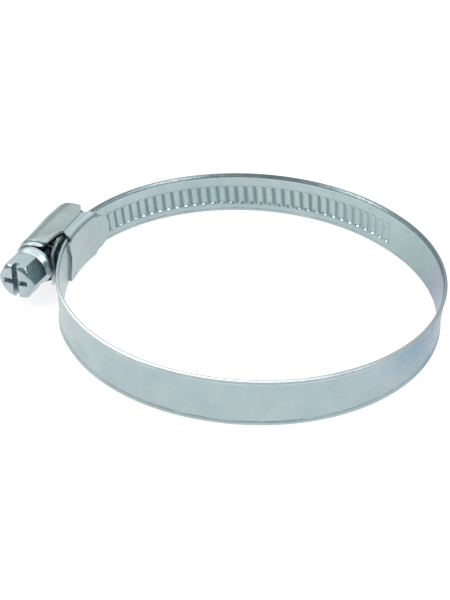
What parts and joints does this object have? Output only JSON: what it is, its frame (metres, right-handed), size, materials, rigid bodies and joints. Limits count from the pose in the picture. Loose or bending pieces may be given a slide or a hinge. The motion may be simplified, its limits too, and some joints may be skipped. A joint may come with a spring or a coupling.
{
  "type": "worm drive hose clamp",
  "caption": "Worm-drive hose clamp with a ribbed steel band, a stamped housing and a slotted hexagon screw that tightens the band round a hose.",
  "frame": {"origin": "centre of the hose bore, at half the band's width, with the clamp fully open", "axes": "+Z along the hose; the housing stands on the -X side; the screw's axis is parallel to Y and its head points towards -Y"},
  "size_m": [0.0816, 0.0723, 0.0106],
  "materials": {
    "band_zinc": "bright zinc plated steel strip, faint blue-green tint, fine speckle",
    "housing_zinc": "bright zinc plated stamped steel, soft sheen",
    "saddle_zinc": "bright zinc plated steel strip, soft sheen",
    "screw_zinc": "bright zinc plated cold-headed steel, blue tint"
  },
  "bodies": {
    "root": {"housing": "housing_zinc", "saddle": "saddle_zinc", "band_end": "band_zinc"},
    "screw": {"screw": "screw_zinc"},
    "plain_band_1": {"plain_band_1": "band_zinc"},
    "plain_band_2": {"plain_band_2": "band_zinc"},
    "plain_band_3": {"plain_band_3": "band_zinc"},
    "plain_band_4": {"plain_band_4": "band_zinc"},
    "plain_band_5": {"plain_band_5": "band_zinc"},
    "plain_band_6": {"plain_band_6": "band_zinc"},
    "plain_band_7": {"plain_band_7": "band_zinc"},
    "plain_band_8": {"plain_band_8": "band_zinc"},
    "plain_band_9": {"plain_band_9": "band_zinc"},
    "threaded_band_1": {"threaded_band_1": "band_zinc"},
    "threaded_band_2": {"threaded_band_2": "band_zinc"},
    "threaded_band_3": {"threaded_band_3": "band_zinc"},
    "threaded_band_4": {"threaded_band_4": "band_zinc"},
    "threaded_band_5": {"threaded_band_5": "band_zinc"},
    "threaded_band_6": {"threaded_band_6": "band_zinc"},
    "threaded_band_7": {"threaded_band_7": "band_zinc"}
  },
  "joints": [
    {"name": "screw_turn", "type": "hinge", "parent": "root", "child": "screw", "pos_m": [-0.0404, -0.0116, 0], "axis": [0, 1, 0], "range_deg": [0, 10800]},
    {"name": "plain_band_1_bend", "type": "hinge", "parent": "root", "child": "plain_band_1", "pos_m": [-0.03357, -0.01091, 0], "axis": [0, 0, 1], "range_deg": [0, 12.38]},
    {"name": "plain_band_2_bend", "type": "hinge", "parent": "plain_band_1", "child": "plain_band_2", "pos_m": [-0.02619, -0.02367, 0], "axis": [0, 0, 1], "range_deg": [0, 8.54]},
    {"name": "plain_band_3_bend", "type": "hinge", "parent": "plain_band_2", "child": "plain_band_3", "pos_m": [-0.01423, -0.0323, 0], "axis": [0, 0, 1], "range_deg": [0, 8.79]},
    {"name": "plain_band_4_bend", "type": "hinge", "parent": "plain_band_3", "child": "plain_band_4", "pos_m": [0.00021, -0.0353, 0], "axis": [0, 0, 1], "range_deg": [0, 9.22]},
    {"name": "plain_band_5_bend", "type": "hinge", "parent": "plain_band_4", "child": "plain_band_5", "pos_m": [0.01461, -0.03214, 0], "axis": [0, 0, 1], "range_deg": [0, 10.24]},
    {"name": "plain_band_6_bend", "type": "hinge", "parent": "plain_band_5", "child": "plain_band_6", "pos_m": [0.02646, -0.02336, 0], "axis": [0, 0, 1], "range_deg": [0, 9.19]},
    {"name": "plain_band_7_bend", "type": "hinge", "parent": "plain_band_6", "child": "plain_band_7", "pos_m": [0.0337, -0.01052, 0], "axis": [0, 0, 1], "range_deg": [0, 8.86]},
    {"name": "plain_band_8_bend", "type": "hinge", "parent": "plain_band_7", "child": "plain_band_8", "pos_m": [0.03505, 0.00417, 0], "axis": [0, 0, 1], "range_deg": [0, 8.58]},
    {"name": "plain_band_9_bend", "type": "hinge", "parent": "plain_band_8", "child": "plain_band_9", "pos_m": [0.03029, 0.01812, 0], "axis": [0, 0, 1], "range_deg": [0, 8.66]},
    {"name": "threaded_band_1_bend", "type": "hinge", "parent": "plain_band_9", "child": "threaded_band_1", "pos_m": [0.02024, 0.02891, 0], "axis": [0, 0, 1], "range_deg": [0, 7.89]},
    {"name": "threaded_band_2_bend", "type": "hinge", "parent": "threaded_band_1", "child": "threaded_band_2", "pos_m": [0.00911, 0.03441, 0], "axis": [0, 0, 1], "range_deg": [0, 8.47]},
    {"name": "threaded_band_3_bend", "type": "hinge", "parent": "threaded_band_2", "child": "threaded_band_3", "pos_m": [-0.00323, 0.03577, 0], "axis": [0, 0, 1], "range_deg": [0, 7.66]},
    {"name": "threaded_band_4_bend", "type": "hinge", "parent": "threaded_band_3", "child": "threaded_band_4", "pos_m": [-0.0153, 0.03285, 0], "axis": [0, 0, 1], "range_deg": [0, 7.52]},
    {"name": "threaded_band_5_bend", "type": "hinge", "parent": "threaded_band_4", "child": "threaded_band_5", "pos_m": [-0.02565, 0.02598, 0], "axis": [0, 0, 1], "range_deg": [0, 6.75]},
    {"name": "threaded_band_6_bend", "type": "hinge", "parent": "threaded_band_5", "child": "threaded_band_6", "pos_m": [-0.03303, 0.016, 0], "axis": [0, 0, 1], "range_deg": [0, 6.04]},
    {"name": "threaded_band_7_bend", "type": "hinge", "parent": "threaded_band_6", "child": "threaded_band_7", "pos_m": [-0.03657, 0.0041, 0], "axis": [0, 0, 1], "range_deg": [0, 7.21]}
  ],
  "couplings": [
    {"joint": "plain_band_1_bend", "follows": "screw_turn", "ratio": 0.0011417},
    {"joint": "plain_band_2_bend", "follows": "screw_turn", "ratio": 0.00078611},
    {"joint": "plain_band_3_bend", "follows": "screw_turn", "ratio": 0.00080926},
    {"joint": "plain_band_4_bend", "follows": "screw_turn", "ratio": 0.00084907},
    {"joint": "plain_band_5_bend", "follows": "screw_turn", "ratio": 0.00094352},
    {"joint": "plain_band_6_bend", "follows": "screw_turn", "ratio": 0.0008463},
    {"joint": "plain_band_7_bend", "follows": "screw_turn", "ratio": 0.00081574},
    {"joint": "plain_band_8_bend", "follows": "screw_turn", "ratio": 0.00078982},
    {"joint": "plain_band_9_bend", "follows": "screw_turn", "ratio": 0.00079722},
    {"joint": "threaded_band_1_bend", "follows": "screw_turn", "ratio": 0.00072593},
    {"joint": "threaded_band_2_bend", "follows": "screw_turn", "ratio": 0.00077963},
    {"joint": "threaded_band_3_bend", "follows": "screw_turn", "ratio": 0.00070463},
    {"joint": "threaded_band_4_bend", "follows": "screw_turn", "ratio": 0.00069167},
    {"joint": "threaded_band_5_bend", "follows": "screw_turn", "ratio": 0.00062037},
    {"joint": "threaded_band_6_bend", "follows": "screw_turn", "ratio": 0.00055463},
    {"joint": "threaded_band_7_bend", "follows": "screw_turn", "ratio": 0.00066296}
  ]
}
